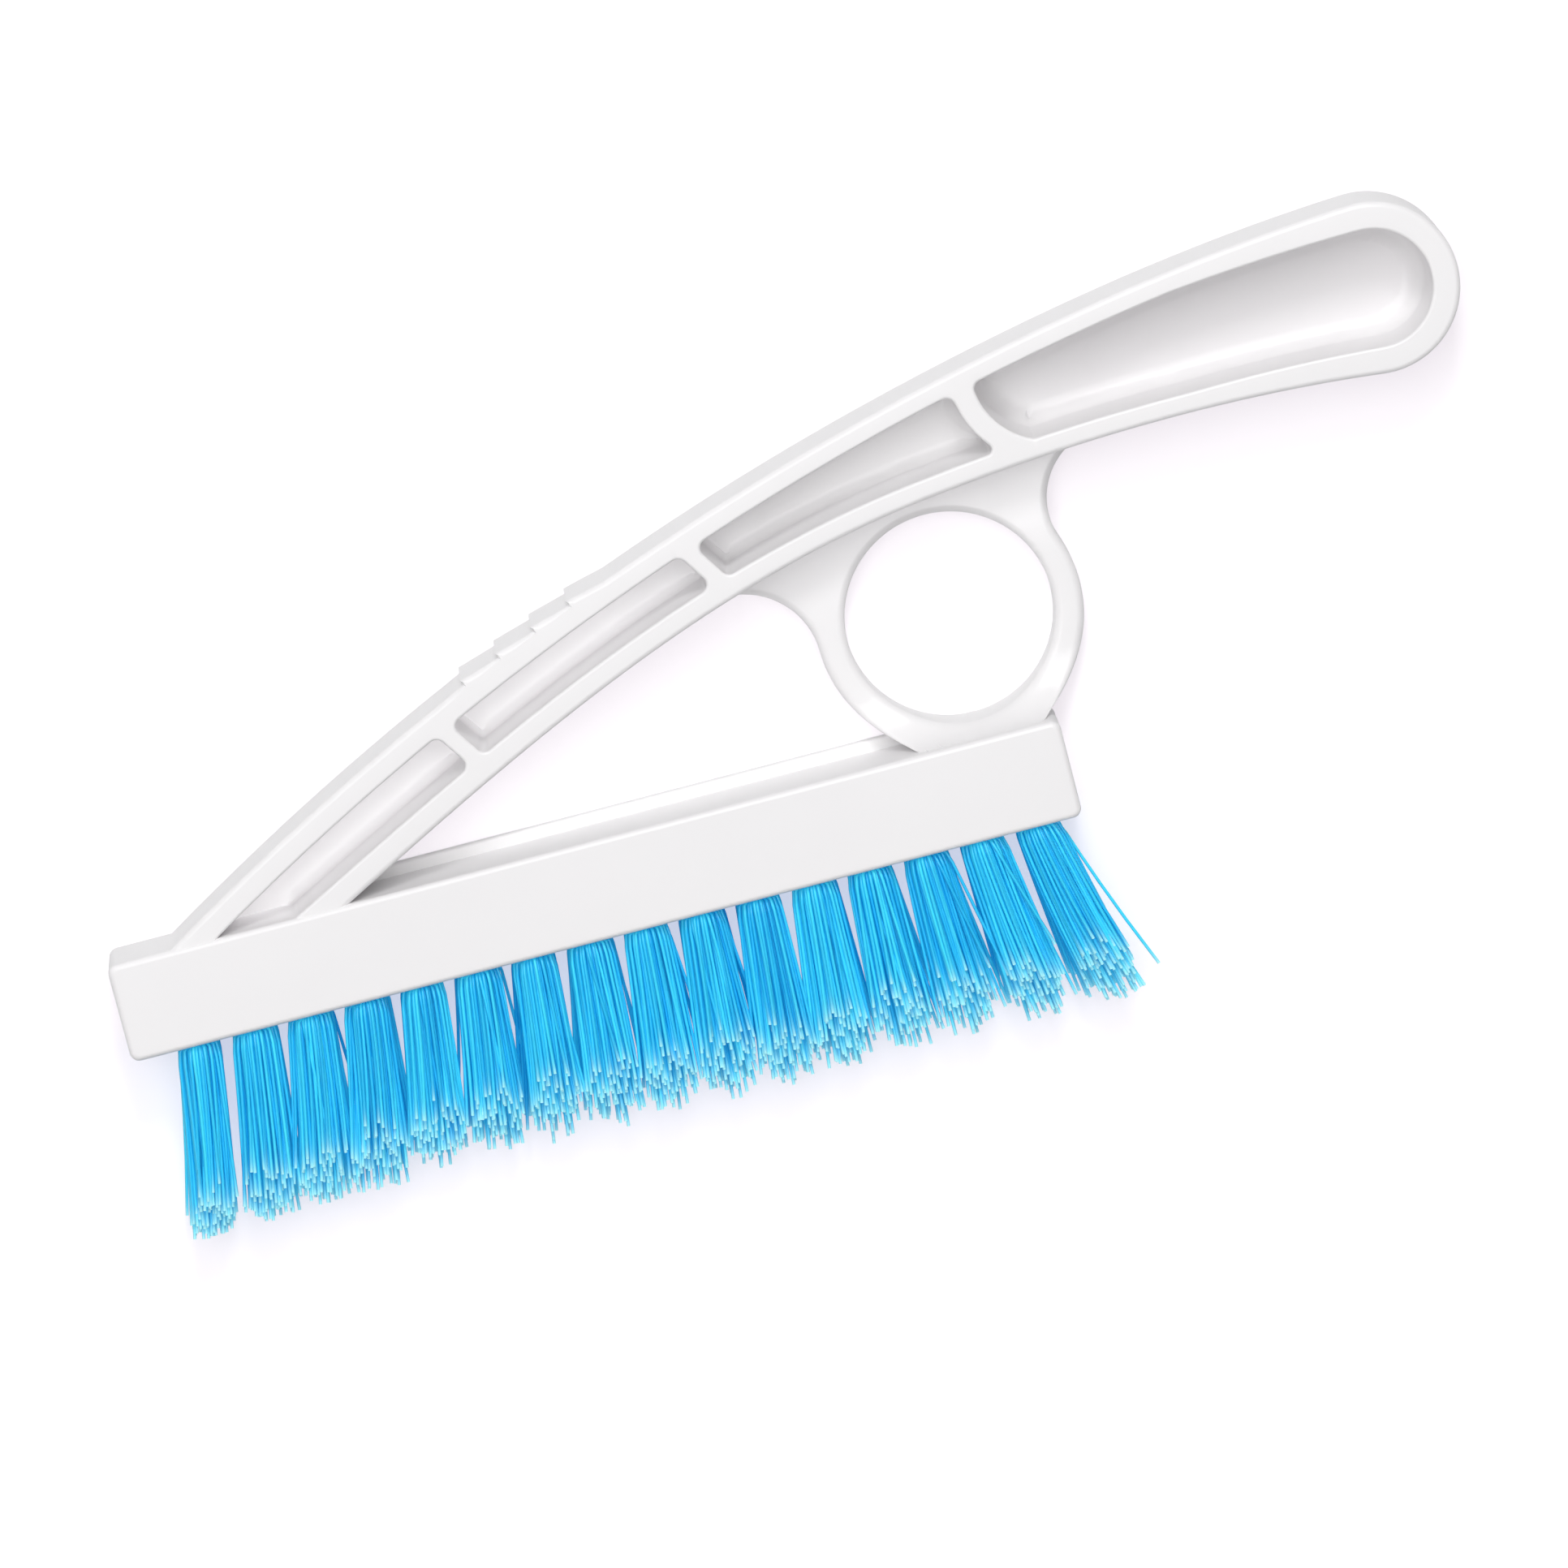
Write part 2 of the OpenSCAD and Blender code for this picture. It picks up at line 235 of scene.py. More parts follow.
def cell_outlines():
    """The four pockets of the channel, clockwise, between two straight ribs and a bowed one."""
    rib_slope, rib_t, corner_r = -56, 2.8, 1.4
    bow_c, bow_r, bow_t = grip_c + Vector((-52, 1.5)), 11.7, 3.6
    across = heading(rib_slope + 90)
    floor_y = block_top - 0.6

    def inner_top(s):
        return top_edge.point(s, -rim(s))

    def inner_low(s):
        return low_edge.point(s, rim(s))

    def walls(start, stop):
        """The long walls between two cuts, each a pair of places on the top and low edge."""
        upper = along(top_edge, start[0], stop[0], lambda s: -rim(s))
        return upper, along(low_edge, stop[1], start[1], rim)

    def turn(p):
        return math.degrees(math.atan2(p.y - bow_c.y, p.x - bow_c.x)) % 360

    cuts = [[halve(lambda s: f(s).y > floor_y, -0.1, 0.3) for f in (inner_top, inner_low)]]
    for rib_x in (-14.4, 29.0):
        ends = [edge.point(crossing(edge, rib_x)) for edge in (top_edge, low_edge)]
        middle = (ends[0] + ends[1]) / 2
        for side in (-rib_t / 2, rib_t / 2):
            cuts.append([
                halve(lambda s: (f(s) - middle).dot(across) > side, 0, 1.4)
                for f in (inner_top, inner_low)
            ])
    for radius in (bow_r + bow_t, bow_r):
        cuts.append([
            halve(lambda s: (f(s) - bow_c).length < radius, 0.9, inside)
            for f, inside in ((inner_top, 1.25), (inner_low, 1.28))
        ])
    foot, first_rib, past_first_rib, second_rib, past_second_rib, bow, past_bow = cuts

    cells = []
    for start, stop, toe_r, foot_r in (
        (foot, first_rib, 0.3, 0.5),
        (past_first_rib, second_rib, corner_r, corner_r),
    ):
        upper, lower = walls(start, stop)
        last = len(upper + lower) - 1
        corners = {0: toe_r, len(upper) - 1: corner_r, len(upper): corner_r, last: foot_r}
        cells.append(soften(upper + lower, corners))

    upper, lower = walls(past_second_rib, bow)
    rib = arc(bow_c, bow_r + bow_t, turn(upper[-1]), turn(lower[0]), 12)[1:-1]
    loop, narrow_r = upper + rib + lower, 0.8
    corners = {0: corner_r, len(upper) - 1: corner_r, len(upper + rib): narrow_r}
    corners[len(loop) - 1] = corner_r
    cells.append(soften(loop, corners))

    upper, lower = walls(past_bow, (2, 2))
    end = arc(grip_c, grip_r - end_rim, 90 + top_turn, low_turn - 90, 30)[1:-1]
    rib = arc(bow_c, bow_r, turn(lower[-1]), turn(upper[0]), 12)[1:-1]
    around = upper + end + lower
    cells.append(soften(around + rib, {0: corner_r, len(around) - 1: corner_r}))
    return cells


def push(loop, distance):
    """The loop moved to the left of its direction, each point as far as its room allows."""
    moved, least_share = [], 0.35
    for k, (here, room) in enumerate(loop):
        into = (here - loop[k - 1][0]).normalized()
        out = (loop[(k + 1) % len(loop)][0] - here).normalized()
        normal_in, normal_out = Vector((-into.y, into.x)), Vector((-out.y, out.x))
        share = max(least_share, 1 + normal_in.dot(normal_out))
        held = max(-room, min(room, distance))
        moved.append(here + held * (normal_in + normal_out) / share)
    return moved


def rounded(radius, at, outwards, count=5):
    """Offsets and heights of an edge's quarter round, from its wall to its face at height `at`."""
    turns = [math.pi / 2 * k / count for k in range(count + 1)]
    return [(radius * (1 - math.cos(a)), at - outwards * radius * (1 - math.sin(a))) for a in turns]


class Shell:
    """A closed mesh that grows by rings of points and by flat faces between loops."""

    def __init__(self):
        self.mesh = bmesh.new()

    def ring(self, points):
        """Vertices at places in millimetres, each an x, y and z."""
        return [self.mesh.verts.new((x * MM, y * MM, z * MM)) for x, y, z in points]

    def wall(self, ring_a, ring_b):
        for k in range(len(ring_a)):
            corners = (ring_a[k - 1], ring_a[k], ring_b[k], ring_b[k - 1])
            self.mesh.faces.new(corners)

    def tower(self, loop, profile):
        """Walls along a loop, up a profile of offsets and heights; gives the two end rings."""
        rings = [
            self.ring((p.x, p.y, height) for p in push(loop, offset)) for offset, height in profile
        ]
        for lower, upper in zip(rings, rings[1:]):
            self.wall(lower, upper)
        return rings[0], rings[-1]

    def cap(self, *rings):
        edges = [
            self.mesh.edges.get((ring[k - 1], ring[k])) for ring in rings for k in range(len(ring))
        ]
        bmesh.ops.triangle_fill(self.mesh, edges=edges, use_beauty=True)

    def object(self, name):
        bmesh.ops.recalc_face_normals(self.mesh, faces=self.mesh.faces[:])
        data = bpy.data.meshes.new(name)
        self.mesh.to_mesh(data)
        self.mesh.free()
        made = bpy.data.objects.new(name, data)
        bpy.context.scene.collection.objects.link(made)
        return made


def slab(name, loop, thickness, back_r, front_r=front_edge_r):
    """A flat plate on the floor with rounded edges at its back and front."""
    shell = Shell()
    profile = rounded(back_r, 0, -1)[::-1] + rounded(front_r, thickness, 1)
    for end in shell.tower(loop, profile):
        shell.cap(end)
    return shell.object(name)


def handle():
    """The handle, a little lower than the block, with four pockets sunk into its front."""
    rim_z, pocket_edge_r, draft = body_t - 0.35, 0.5, 0.25
    shell = Shell()
    profile = rounded(back_edge_r, 0, -1)[::-1] + rounded(front_edge_r, rim_z, 1)
    back, front = shell.tower(handle_outline(), profile)
    shell.cap(back)
    mouths = []
    for cell, floor_r in zip(cell_outlines(), (2.0, 2.0, 2.2, 3.2)):
        walls = rounded(pocket_edge_r, rim_z, 1)[::-1]
        floor = [(-draft - offset, height) for offset, height in rounded(floor_r, plate_t, -1)]
        mouth, bottom = shell.tower(cell, walls + floor)
        shell.cap(bottom)
        mouths.append(mouth)
    shell.cap(front, *mouths)
    return shell.object("handle")


def ring_outline():
    """The finger ring and its web, counterclockwise, with the web's top hidden in the handle."""
    toe_fillet_r, grip_fillet_r, tuck, tucked_room = 12.3, 11.2, 1.2, 0.1

    def fillet(radius, opened):
        """Where the low edge is met by the fillet between it and the ring, and its centre."""

        def touches(s):
            return (low_edge.point(s, -radius) - ring_c).length - ring_r - radius < 0

        s = halve(touches, opened, 1)
        return s, low_edge.point(s, -radius)

    def turn(start, end):
        ahead = end - start
        return math.degrees(math.atan2(ahead.y, ahead.x))

    toe_s, toe = fillet(toe_fillet_r, 0)
    grip_s, grip = fillet(grip_fillet_r, 2)
    toe_foot, grip_foot = low_edge.point(toe_s), low_edge.point(grip_s)
    hidden = [low_edge.point(grip_s + (toe_s - grip_s) * k / 24, tuck) for k in range(25)]
    shown = arc(toe, toe_fillet_r, turn(toe, toe_foot), turn(toe, ring_c), 20)[:-1]
    shown += arc(ring_c, ring_r, turn(ring_c, toe) % 360, 360 + turn(ring_c, grip), 90)
    shown += arc(grip, grip_fillet_r, turn(grip, ring_c) % 360, turn(grip, grip_foot), 20)[1:]
    room = [0.45 * min((p - q).length for q in hidden) for p in shown]
    return list(zip(shown, room)) + [(p, tucked_room) for p in hidden]


def ring_plate():
    """The finger ring and its web as one flat plate with rounded edges."""
    front_r, back_r = 1.3, 0.8
    shell = Shell()
    hole = [(p, free) for p in arc(ring_c, ring_hole_r, 360, 0, 120)[:-1]]
    profile = rounded(back_r, 0, -1)[::-1] + rounded(front_r, ring_t, 1)
    backs, fronts = zip(shell.tower(ring_outline(), profile), shell.tower(hole, profile))
    shell.cap(*backs)
    shell.cap(*fronts)
    return shell.object("ring_plate")


def ring_cove():
    """The hollow curve that swells up from the ring's front to the block."""
    cove_r, edge_r, inset, root, fall, below_front = 8.8, 1.1, 0.02, 3.0, 0.2, 1.0
    first_turn, last_turn, pitch = 198, 342, 3
    flat_y = block_top + cove_r

    def front(p):
        if p.y > flat_y:
            return ring_t - (p.y - flat_y) * fall
        reach = min(cove_r, flat_y - p.y)
        swell = cove_r - math.sqrt(cove_r**2 - reach**2)
        return min(ring_t + swell, body_t - below_front)

    shell = Shell()
    edge = rounded(edge_r, 0, 1)
    inner, outer = ring_hole_r + inset, ring_r - inset
    places = [inner + offset for offset, _ in edge]
    drops = [height for _, height in edge]
    middle = [inner + edge_r + (outer - inner - 2 * edge_r) * k / 4 for k in range(1, 4)]
    places += middle + [outer + inner - r for r in reversed(places)]
    drops += [0] * len(middle) + drops[::-1]
    sections = []
    for turn in range(first_turn, last_turn + 1, pitch):
        rays = [ring_c + r * heading(turn) for r in places]
        section = [(p.x, p.y, front(p) + drop) for p, drop in zip(rays, drops)]
        feet = [(p.x, p.y, root) for p in (rays[0], rays[-1])]
        sections.append(shell.ring([feet[0], *section, feet[1]]))
    for a, b in zip(sections, sections[1:]):
        shell.wall(a, b)
    shell.mesh.faces.new(sections[0])
    shell.mesh.faces.new(sections[-1])
    return shell.object("ring_cove")


def lip_outline():
    """The low step on top of the block, from the handle's foot to the ring."""
    lip_y, tuck = 9.8, 2.0
    start, end = toe_x + foot_inset + foot_l, ring_c.x
    low_y = block_top - tuck
    corners = ((start, low_y), (end, low_y), (end, lip_y), (start, lip_y))
    return [(Vector(p), free) for p in corners]


tuft_count = 16
tuft_pitch = 9.0
first_tuft_x = toe_x + 10.5
row_gap = 7.4
hole_d = 5.0


def hole_places():
    """The row, number and middle, as x and z, of each blind hole on the bristle face."""
    for row in (-1, 1):
        for i in range(tuft_count):
            yield row, i, first_tuft_x + i * tuft_pitch, body_t / 2 + row * row_gap / 2


def blind_holes():
    hole_depth, clear, sides = 11.0, 1.0, 40
    shell = Shell()
    for _, _, x, z in hole_places():
        around = arc(Vector((x, z)), hole_d / 2, 0, 360, sides)[:-1]
        mouth_y, bottom_y = -block_top - clear, hole_depth - block_top
        ends = [shell.ring((p.x, y, p.y) for p in around) for y in (mouth_y, bottom_y)]
        shell.wall(*ends)
        for end in ends:
            shell.mesh.faces.new(end)
    return shell.object("blind_holes")


def cut_or_join(target, other, operation):
    step = target.modifiers.new(operation, "BOOLEAN")
    step.operation = operation
    step.solver = "MANIFOLD"
    step.object = other


def settle(target, *helpers):
    """Fixes the result of the modifiers as the object's own mesh and removes the helper objects."""
    graph = bpy.context.evaluated_depsgraph_get()
    made = bpy.data.meshes.new_from_object(target.evaluated_get(graph))
    target.modifiers.clear()
    target.data = made
    for helper in helpers:
        bpy.data.objects.remove(helper)


body = slab("block", block_outline(), body_t, back_r=1.2)
lip = slab("lip", lip_outline(), 2.0, back_r=0.4, front_r=0.5)
parts = [handle(), ring_plate(), ring_cove(), lip]
holes = blind_holes()
for part in parts:
    cut_or_join(body, part, "UNION")
cut_or_join(body, holes, "DIFFERENCE")
settle(body, *parts, holes)
clean = bmesh.new()
clean.from_mesh(body.data)
weld = 0.005 * MM
bmesh.ops.remove_doubles(clean, verts=clean.verts[:], dist=weld)
bmesh.ops.dissolve_degenerate(clean, edges=clean.edges[:], dist=weld)
bmesh.ops.triangulate(clean, faces=clean.faces[:])
clean.to_mesh(body.data)
clean.free()
body.data.shade_smooth()
body.data.set_sharp_from_angle(angle=math.radians(32))
weigh = body.modifiers.new("weighted", "WEIGHTED_NORMAL")
weigh.keep_sharp = True
weigh.weight = 80
settle(body)


def mark(name, share):
    """Stores how much each point of the body belongs to a place given painted light or shade."""
    shares = [max(0, min(1, share(vertex.co / MM))) for vertex in body.data.vertices]
    body.data.attributes.new(name, "FLOAT", "POINT").data.foreach_set("value", shares)


def on_floor_plate(p):
    """Full on the thin plate at the bottom of the channel, and none 2 mm above it."""
    in_pocket = p.y > block_top - 2 and p.z > plate_t - 0.05
    return 1 - (p.z - plate_t) / 2 if in_pocket else 0


def on_web(p):
    """None up to 6 mm above the finger hole's middle, and full from 16 mm above it, on the web."""
    on_front = abs(p.z - ring_t) < 0.05
    return (p.y - ring_c.y - 6) / 10 if on_front else 0


# These marks place painted light and painted shade on the pocket floors and on the web.
mark("floor_plate", on_floor_plate)
mark("web", on_web)


class Value:
    """A socket of a node tree that can be added, multiplied and so on, each by a maths node."""

    def __init__(self, tree, socket):
        self.tree = tree
        self.socket = socket

    def node(self, kind, settings=None, **sockets):
        """The first output of a new node; at0, at1 and so on are its inputs by number."""
        made = self.tree.nodes.new(kind)
        for key, value in (settings or {}).items():
            setattr(made, key, value)
        for key, value in sockets.items():
            port = made.inputs[int(key[2:]) if key.startswith("at") else key.replace("_", " ")]
            if isinstance(value, Value):
                self.tree.links.new(value.socket, port)
            else:
                port.default_value = value
        return Value(self.tree, made.outputs[0])

    def out(self, which):
        """Another output of the node that this value comes from."""
        return Value(self.tree, self.socket.node.outputs[which])

    def to(self, node, socket):
        self.tree.links.new(self.socket, node.inputs[socket])

    def fall(self, full, none):
        """1 where the value is past `full`, 0 where it is past `none`, and a ramp between."""
        sockets = {"Value": self, "From Min": none, "From Max": full}
        return self.node("ShaderNodeMapRange", {"clamp": True}, **sockets)

    def maths(self, operation, a, b=0):
        return self.node("ShaderNodeMath", {"operation": operation}, at0=a, at1=b)

    def __add__(self, other):
        return self.maths("ADD", self, other)

    def __radd__(self, other):
        return self.maths("ADD", other, self)

    def __sub__(self, other):
        return self.maths("SUBTRACT", self, other)

    def __rsub__(self, other):
        return self.maths("SUBTRACT", other, self)

    def __mul__(self, other):
        return self.maths("MULTIPLY", self, other)

    def __rmul__(self, other):
        return self.maths("MULTIPLY", other, self)

    def __truediv__(self, other):
        return self.maths("DIVIDE", self, other)

    def __rtruediv__(self, other):
        return self.maths("DIVIDE", other, self)

    def __pow__(self, other):
        return self.maths("POWER", self, other)

    def noise(self, scale, detail):
        return self.node("ShaderNodeTexNoise", Vector=self, Scale=scale, Detail=detail)

    def blend(self, first, second):
        """A colour that goes from the first to the second as the value goes from 0 to 1."""
        settings = {"data_type": "RGBA"}
        return self.node("ShaderNodeMix", settings, at0=self, at6=first, at7=second).out(2)

    def bump(self, strength, distance):
        return self.node("ShaderNodeBump", Height=self, Strength=strength, Distance=distance)


def new_material(name):
    """A material with its principled shader, and the object's own coordinates as a value."""
    material = bpy.data.materials.new(name)
    material.use_nodes = True
    shader = material.node_tree.nodes["Principled BSDF"]
    coords = material.node_tree.nodes.new("ShaderNodeTexCoord")
    return material, shader, Value(material.node_tree, coords.outputs["Object"])


def stored(where, name):
    """A value that is stored on the points of the piece."""
    return where.node("ShaderNodeAttribute", {"attribute_name": name}).out("Fac")


white_pp, shader, where = new_material("white_pp")
# The third colour is painted shade for the floor of the grip pocket.
white, bright_white, painted_grip_shade = (
    (0.865, 0.855, 0.86, 1),
    (0.90, 0.89, 0.895, 1),
    (0.78, 0.765, 0.775, 1),
)
# The second colour is painted light, a faint glow for the shaded pocket floors and the web.
no_glow, painted_pocket_light = (0, 0, 0, 1), (0.19, 0.185, 0.19, 1)
cloud, grain, ripple = where.noise(35, 3), where.noise(900, 4), where.noise(120, 2)
x = where.node("ShaderNodeSeparateXYZ", Vector=where)
# These masks place the painted shade and painted light: the floors of the pockets and the web over
# the ring.
thin, web = stored(where, "floor_plate"), stored(where, "web")
in_grip, at_toe = x.fall(95 * MM, 75 * MM), x.fall(12 * MM, 40 * MM)
plastic = cloud.blend(white, bright_white)
# Painted shade: the floor of the grip pocket is made greyer than the rest of the body.
(thin * in_grip).blend(plastic, painted_grip_shade).to(shader, "Base Color")
(0.26 + cloud * 0.08 + grain * 0.04).to(shader, "Roughness")
(grain * 0.6 + ripple).bump(0.12, 0.00012).to(shader, "Normal")
# Painted light: the pocket floors at the toe and the web glow faintly, lifting their shade.
(thin * at_toe + web * 0.6).blend(no_glow, painted_pocket_light).to(shader, "Emission Color")
shader.inputs["IOR"].default_value = 1.49
shader.inputs["Emission Strength"].default_value = 1
body.data.materials.clear()
body.data.materials.append(white_pp)
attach(body, "root")
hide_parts("handle_body")


# Bristles. Each tuft is a bundle of blue polyamide filaments, folded in half and stapled into a
# hole of the block. The tufts are trimmed to a roof, longest along the middle of the brush, and
# are splayed and worn to the toe; the last ones at the heel lean the other way.
filaments = 76
filament_r = 0.275


def tuft_points():
    """A point for each tuft, at its hole, with its lean, length and fan, and its row's side."""
    steady_lean, toe_lean, heel_lean, sway = -7.5, -3.5, 18, 1.8
    trimmed, toe_l, heel_l, wave, stray_tuft, stray_l = 32.0, 3.7, 1.4, 0.4, 10.3, 1.7
    toe_narrower = 0.25
    places = []
    given = {"lean": [], "reach": [], "fan": [], "side": []}
    for row, i, x, z in hole_places():
        u = i / (tuft_count - 1)
        at_toe = toe_lean * math.exp(-12 * u)
        lean = steady_lean + at_toe + heel_lean * u**4 + sway * math.cos(7 * i + row)
        wear = wave * math.sin(5 * math.pi * u) + stray_l * math.exp(-((i - stray_tuft) ** 2))
        wear += heel_l * u**12
        places.append((x, -block_top, z))
        given["lean"].append(math.tan(math.radians(lean)))
        given["reach"].append(trimmed + toe_l * math.exp(-8 * u) + wear)
        given["fan"].append(1 - toe_narrower * math.exp(-2 * i))
        given["side"].append(row)
    data = bpy.data.meshes.new("tuft_points")
    data.from_pydata([Vector(p) * MM for p in places], [], [])
    for name, values in given.items():
        data.attributes.new(name, "FLOAT", "POINT").data.foreach_set("value", values)
    made = bpy.data.objects.new("bristles", data)
    bpy.context.scene.collection.objects.link(made)
    return made


def bristle_tree():
    """Grows each point into a disc of filaments, which fan out, lean and end at the roof."""
    golden_angle, full_turn = 2.39996, 6.28
    strand_points, sides, stray_share, mouth_flare = 7, 5, 0.25, 60
    straight, bent = 0.8, 0.2
    tree = bpy.data.node_groups.new("bristles", "GeometryNodeTree")
    tree.interface.new_socket("Geometry", in_out="INPUT", socket_type="NodeSocketGeometry")
    for name, kind in (
        ("Filaments", "Int"),
        ("Filament radius", "Float"),
        ("Hole radius", "Float"),
        ("Root radius", "Float"),
        ("Tip half width", "Float"),
        ("Tip half depth", "Float"),
        ("Roof slope", "Float"),
        ("Trim line", "Float"),
        ("Ragged", "Float"),
        ("Curl", "Float"),
        ("Seed", "Int"),
        ("Material", "Material"),
    ):
        tree.interface.new_socket(name, in_out="INPUT", socket_type="NodeSocket" + kind)
    tree.interface.new_socket("Geometry", in_out="OUTPUT", socket_type="NodeSocketGeometry")
    start, end = tree.nodes.new("NodeGroupInput"), tree.nodes.new("NodeGroupOutput")
    given = {socket.name: Value(tree, socket) for socket in start.outputs if socket.name}
    node = given["Geometry"].node

    def named(name):
        return node("GeometryNodeInputNamedAttribute", {"data_type": "FLOAT"}, Name=name)

    def chance(offset, least=0, most=1):
        """A random number for each point, from the seed and its own offset."""
        settings = {"data_type": "FLOAT"}
        seed = given["Seed"] + offset
        return node("FunctionNodeRandomValue", settings, at2=least, at3=most, Seed=seed).out(1)

    def keep(shape, **fields):
        """The shape with each field stored on its points under the field's name."""
        settings = {"data_type": "FLOAT", "domain": "POINT"}
        kind = "GeometryNodeStoreNamedAttribute"
        for name, value in fields.items():
            shape = node(kind, settings, Geometry=shape, Name=name, Value=value)
        return shape

    points = node("GeometryNodeMeshToPoints", Mesh=given["Geometry"])
    cloud = node(
        "GeometryNodeDuplicateElements",
        {"domain": "POINT"},
        Geometry=keep(points, turn=chance(1, 0, full_turn)),
        Amount=given["Filaments"],
    )
    number = cloud.out("Duplicate Index")
    share = ((number + 0.5) / given["Filaments"]) ** 0.5
    angle = number * golden_angle + named("turn")
    cloud = keep(
        cloud,
        out_x=share * angle.maths("COSINE", angle),
        out_z=share * angle.maths("SINE", angle),
        stray_x=chance(2, -1) * chance(3) ** 3 + chance(9) ** 14 * 3,
        stray_z=chance(4, -1),
        curl=chance(5, -1),
        shade=chance(6),
        ragged=chance(7) ** 2,
    )
    line = node("GeometryNodeCurvePrimitiveLine", {"mode": "POINTS"}, End=(0, 1, 0))
    strand = node("GeometryNodeResampleCurve", Curve=line, Count=strand_points)
    strands = node("GeometryNodeInstanceOnPoints", Points=cloud, Instance=strand)
    step = node("GeometryNodeSplineParameter")
    t = step * step
    strands = keep(node("GeometryNodeRealizeInstances", Geometry=strands), t=t)

    out_x, out_z, root_r = named("out_x"), named("out_z"), given["Root radius"]
    stray_x, stray_z = named("stray_x") * stray_share, named("stray_z") * stray_share
    tip_x = (out_x + stray_x) * named("fan") * given["Tip half width"]
    tip_z = (out_z + stray_z) * given["Tip half depth"]
    off_middle = named("side") * (row_gap / 2 * MM) + tip_z
    roof = off_middle.maths("ABSOLUTE", off_middle) * given["Roof slope"]
    cut = named("reach") * MM - roof
    trimmed = cut.maths("MINIMUM", cut, given["Trim line"])
    depth = (trimmed - named("ragged") * given["Ragged"]) * t
    lean = named("lean") * depth * (straight + t * bent)
    bend = lean + named("curl") * given["Curl"] * t * t
    mouth_r = root_r - (root_r - given["Hole radius"]) * (1 - t) ** mouth_flare

    spot = node("ShaderNodeSeparateXYZ", Vector=node("GeometryNodeInputPosition"))
    place = node(
        "ShaderNodeCombineXYZ",
        X=spot + out_x * mouth_r + (tip_x - out_x * root_r) * t + bend,
        Y=spot.out("Y") - step - depth,
        Z=spot.out("Z") + out_z * mouth_r + (tip_z - out_z * root_r) * t,
    )
    strands = node("GeometryNodeSetPosition", Geometry=strands, Position=place)
    section = node(
        "GeometryNodeCurvePrimitiveCircle",
        {"mode": "RADIUS"},
        Resolution=sides,
        Radius=given["Filament radius"],
    )
    tubes = node("GeometryNodeCurveToMesh", Curve=strands, Profile_Curve=section, Fill_Caps=True)
    tubes = node("GeometryNodeRealizeInstances", Geometry=tubes)
    node("GeometryNodeSetMaterial", Geometry=tubes, Material=given["Material"]).to(end, 0)
    return tree


blue, shader, where = new_material("blue_filament")
deep_blue, bright_blue = (0.004, 0.42, 0.83, 1), (0.05, 0.77, 1.0, 1)
# A painted highlight: the last part of each filament is made pale towards its cut end.
painted_tip_highlight = (0.44, 0.92, 1.0, 1)
shade, t = stored(where, "shade"), stored(where, "t")
tone = shade * 0.75 + where.noise(500, 2) * 0.25
# The filaments pale towards their ends: a painted highlight at the cut tips.
colour = (t**18).blend(tone.blend(deep_blue, bright_blue), painted_tip_highlight)
colour.to(shader, "Base Color")
# Painted light: the filaments glow faintly in their own colour, brighter than the lamps alone make
# them.
colour.to(shader, "Emission Color")
(0.22 + shade * 0.2).to(shader, "Roughness")
shader.inputs["Emission Strength"].default_value = 0.10
shader.inputs["IOR"].default_value = 1.53

bristles = tuft_points()
tree = bristle_tree()
grow = bristles.modifiers.new("grow", "NODES")
grow.node_group = tree
settings = {
    "Filaments": filaments,
    "Filament radius": filament_r * MM,
    "Hole radius": (hole_d / 2 - filament_r) * MM,
    "Root radius": 3.5 * MM,
    "Tip half width": 4.6 * MM,
    "Tip half depth": 2.7 * MM,
    "Roof slope": 1.8,
    "Trim line": 31.1 * MM,
    "Ragged": 2.8 * MM,
    "Curl": 0.5 * MM,
    "Seed": 40,
    "Material": blue,
}
for socket in tree.interface.items_tree:
    if socket.in_out == "INPUT" and socket.name in settings:
        grow[socket.identifier] = settings[socket.name]
settle(bristles)
bristles.data.shade_smooth()
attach(bristles, "root")
tuft_names = [f"tuft_{row}_{i + 1:02d}" for row in ("front", "back") for i in range(tuft_count)]
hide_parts(*tuft_names)


# Anchors. A strip of nickel-plated steel wire pins each folded tuft to the bottom of its hole. They
# sit out of sight, so the shapes of the frame are kept as they are.
steel, shader, where = new_material("anchor_steel")
(0.3 + where.noise(2500, 3) * 0.2).to(shader, "Roughness")
shader.inputs["Base Color"].default_value = (0.62, 0.61, 0.58, 1)
shader.inputs["Metallic"].default_value = 1
for name in ("anchors_front_row", "anchors_back_row"):
    anchor = bpy.data.objects[name]
    anchor.data.materials.clear()
    anchor.data.materials.append(steel)


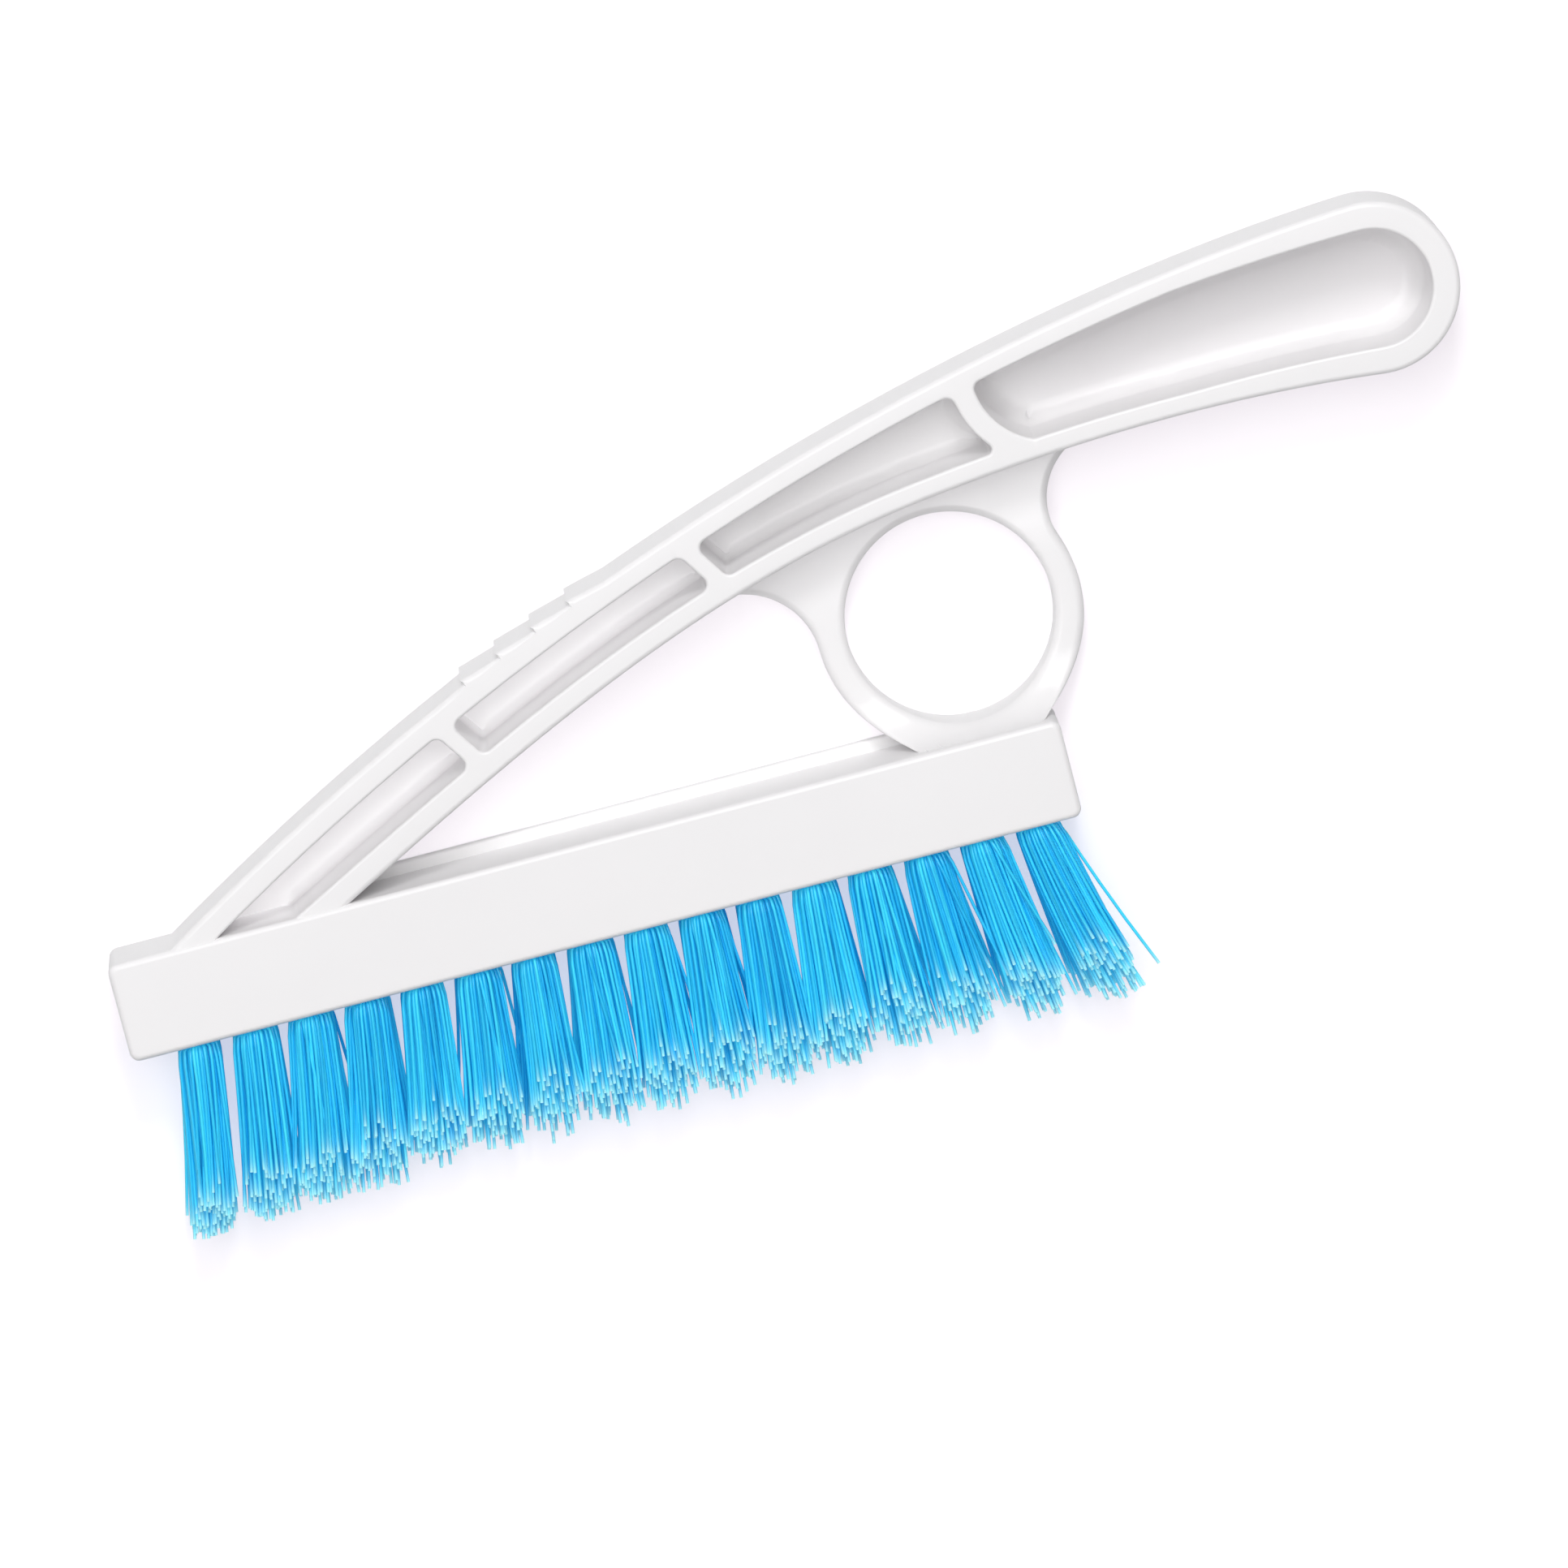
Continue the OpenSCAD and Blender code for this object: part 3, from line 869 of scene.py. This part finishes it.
# Stage. The brush lies on a white sweep. A large soft light over it gives the even white, one
# beyond the handle lights its top edge and throws the shadows past the bristle tips, and a weak one
# at the toe fills them.
scene = bpy.context.scene
scene.view_settings.view_transform = "Standard"
floor = bpy.data.meshes.new("floor")
half, under_brush = 3, 0.0002
corners = [(-half, -half, 0), (half, -half, 0), (half, half, 0), (-half, half, 0)]
floor.from_pydata(corners, [], [(0, 1, 2, 3)])
ground = bpy.data.objects.new("floor", floor)
ground.location.z = -under_brush
scene.collection.objects.link(ground)
sweep, shader, where = new_material("white_sweep")
# The sweep looks brighter than it lights the brush, so that the white body keeps its outline.
paper, light_paper = (0.61, 0.61, 0.61, 1), (0.63, 0.63, 0.63, 1)
lights_brush, looks_white = (0.20, 0.20, 0.205, 1), (0.54, 0.50, 0.54, 1)
where.noise(3, 2).blend(paper, light_paper).to(shader, "Base Color")
seen = where.node("ShaderNodeLightPath")
seen.blend(lights_brush, looks_white).to(shader, "Emission Color")
shader.inputs["Emission Strength"].default_value = 1
shader.inputs["Roughness"].default_value = 0.9
shader.inputs["Specular IOR Level"].default_value = 0
floor.materials.append(sweep)

world = bpy.data.worlds.new("studio")
world.use_nodes = True
sky = world.node_tree.nodes["Background"]
coords = world.node_tree.nodes.new("ShaderNodeTexCoord")
outwards = Value(world.node_tree, coords.outputs["Generated"])
height = outwards.node("ShaderNodeSeparateXYZ", Vector=outwards).out("Z")
walls, ceiling = (0.30, 0.30, 0.31, 1), (1.0, 0.99, 1.0, 1)
height.blend(walls, ceiling).to(sky, "Color")
sky.inputs["Strength"].default_value = 0.41
scene.world = world

lit = Vector((0.03, 0.0, 0))
for name, place, size, power in (
    ("over", (-0.10, 0.45, 1.60), 1.2, 14.2),
    ("beyond", (0.20, 0.95, 1.0), 0.3, 5.8),
    ("toe", (-0.9, -0.2, 0.9), 0.9, 0.7),
):
    lamp = bpy.data.lights.new(name, "AREA")
    lamp.size = size
    lamp.energy = power
    light = bpy.data.objects.new(name, lamp)
    light.location = place
    light.rotation_euler = (lit - light.location).to_track_quat("-Z", "Y").to_euler()
    scene.collection.objects.link(light)
